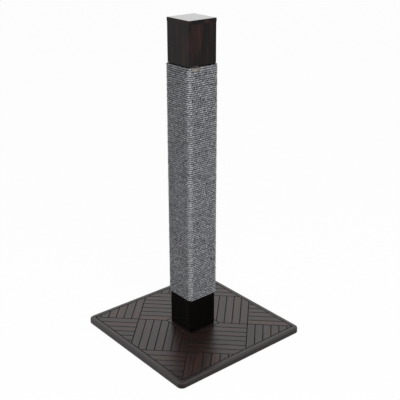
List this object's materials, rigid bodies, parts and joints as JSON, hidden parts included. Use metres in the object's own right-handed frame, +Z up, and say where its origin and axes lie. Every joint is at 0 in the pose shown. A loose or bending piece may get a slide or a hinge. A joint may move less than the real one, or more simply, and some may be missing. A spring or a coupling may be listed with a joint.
{
  "type": "cat scratching post",
  "caption": "Free-standing cat scratching post: a square rope-wound post with dark bare ends and a cap, on a wide square base engraved in a parquet pattern.",
  "frame": {"origin": "on the floor, under the middle of the base board", "axes": "+Z up along the post; +X and -Y are the two sides of the base seen in the picture, and the corner between them is nearest the camera"},
  "size_m": [0.4, 0.4, 0.819],
  "materials": {
    "stained_wood": "espresso stain under satin lacquer",
    "bare_wood": "sanded, unfinished",
    "rope": "grey twisted rope, matt and fibrous",
    "zinc_steel": "bright zinc plated",
    "foot_rubber": "matt moulded rubber"
  },
  "bodies": {
    "root": {"base_board": "stained_wood", "base_bolt_1": "zinc_steel", "base_bolt_2": "zinc_steel", "base_bolt_3": "zinc_steel", "base_bolt_4": "zinc_steel", "bottom_plug": "bare_wood", "cap_screw_1": "zinc_steel", "cap_screw_2": "zinc_steel", "cap_screw_3": "zinc_steel", "cap_screw_4": "zinc_steel", "flat_washer_1": "zinc_steel", "flat_washer_2": "zinc_steel", "flat_washer_3": "zinc_steel", "flat_washer_4": "zinc_steel", "foot_pad_1": "foot_rubber", "foot_pad_2": "foot_rubber", "foot_pad_3": "foot_rubber", "foot_pad_4": "foot_rubber", "post_board_back": "stained_wood", "post_board_front": "stained_wood", "post_board_left": "stained_wood", "post_board_right": "stained_wood", "rope_winding": "rope", "threaded_insert_1": "zinc_steel", "threaded_insert_2": "zinc_steel", "threaded_insert_3": "zinc_steel", "threaded_insert_4": "zinc_steel", "top_cap": "stained_wood", "top_plug": "bare_wood"}
  },
  "joints": []
}
